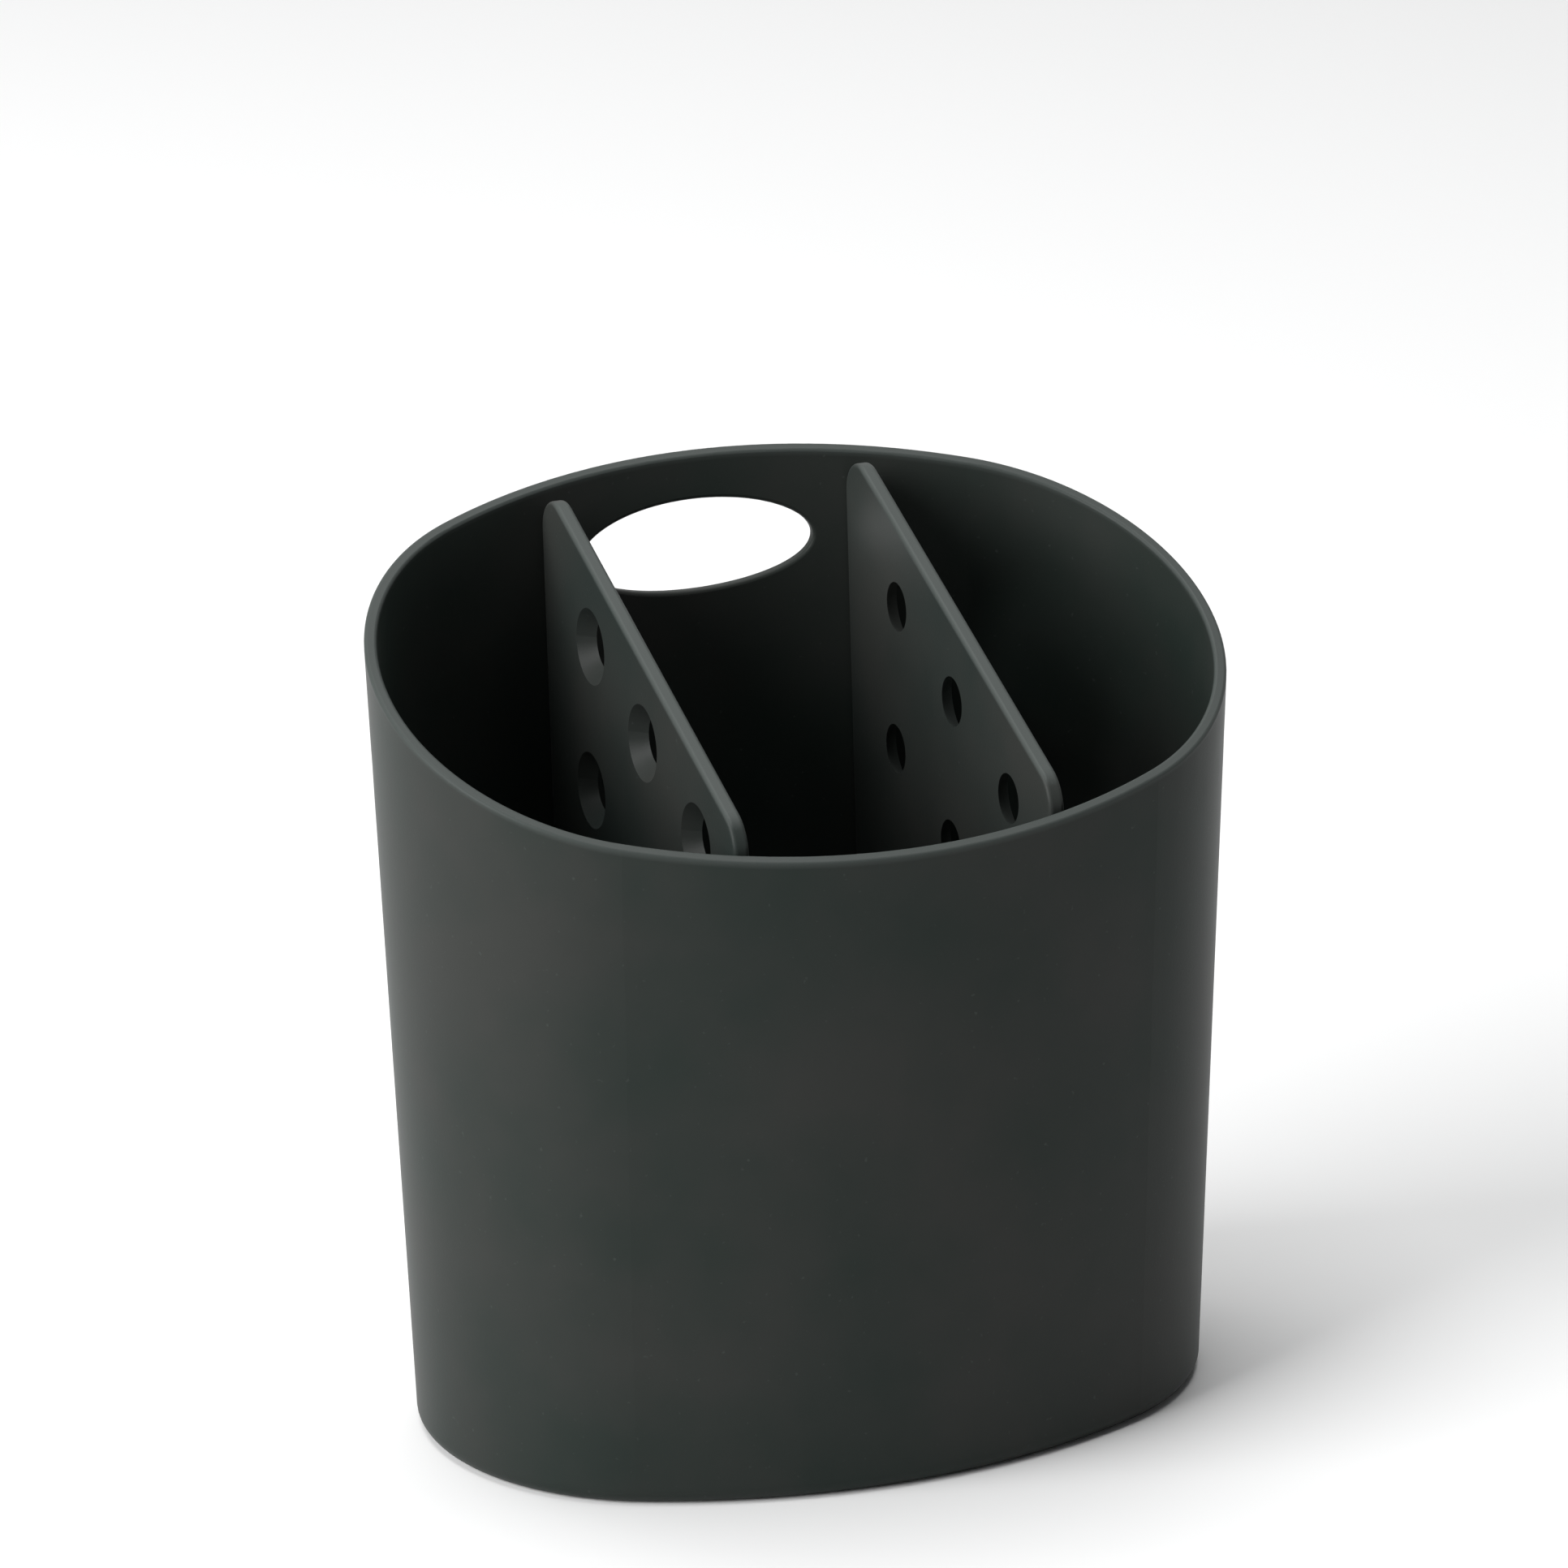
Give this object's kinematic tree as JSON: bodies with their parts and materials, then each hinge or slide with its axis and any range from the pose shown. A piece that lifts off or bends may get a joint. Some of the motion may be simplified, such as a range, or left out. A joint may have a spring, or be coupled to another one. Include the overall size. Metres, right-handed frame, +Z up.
{
  "type": "cutlery drainer",
  "caption": "Free-standing oval cutlery drainer with a slanted rim, a hand hole in its back wall and a lift-out insert of perforated dividers on a drain plate.",
  "frame": {"origin": "on the resting plane, below the middle of the bounding box", "axes": "+X along the long axis, +Y to the back (high side of the rim, with the hand hole), +Z up"},
  "size_m": [0.1594, 0.1103, 0.1627],
  "materials": {
    "vessel": "moulded polypropylene, fine matt",
    "drain_plate": "moulded polypropylene, fine matt",
    "left_divider": "moulded polypropylene, fine matt",
    "right_divider": "moulded polypropylene, fine matt"
  },
  "bodies": {
    "vessel_body": {"vessel": "vessel"},
    "insert": {"drain_plate": "drain_plate", "left_divider": "left_divider", "right_divider": "right_divider"}
  },
  "joints": [
    {"name": "insert_lift", "type": "slide", "parent": "vessel_body", "child": "insert", "axis": [0, 0, 1], "range_m": [0, 0.165]}
  ]
}
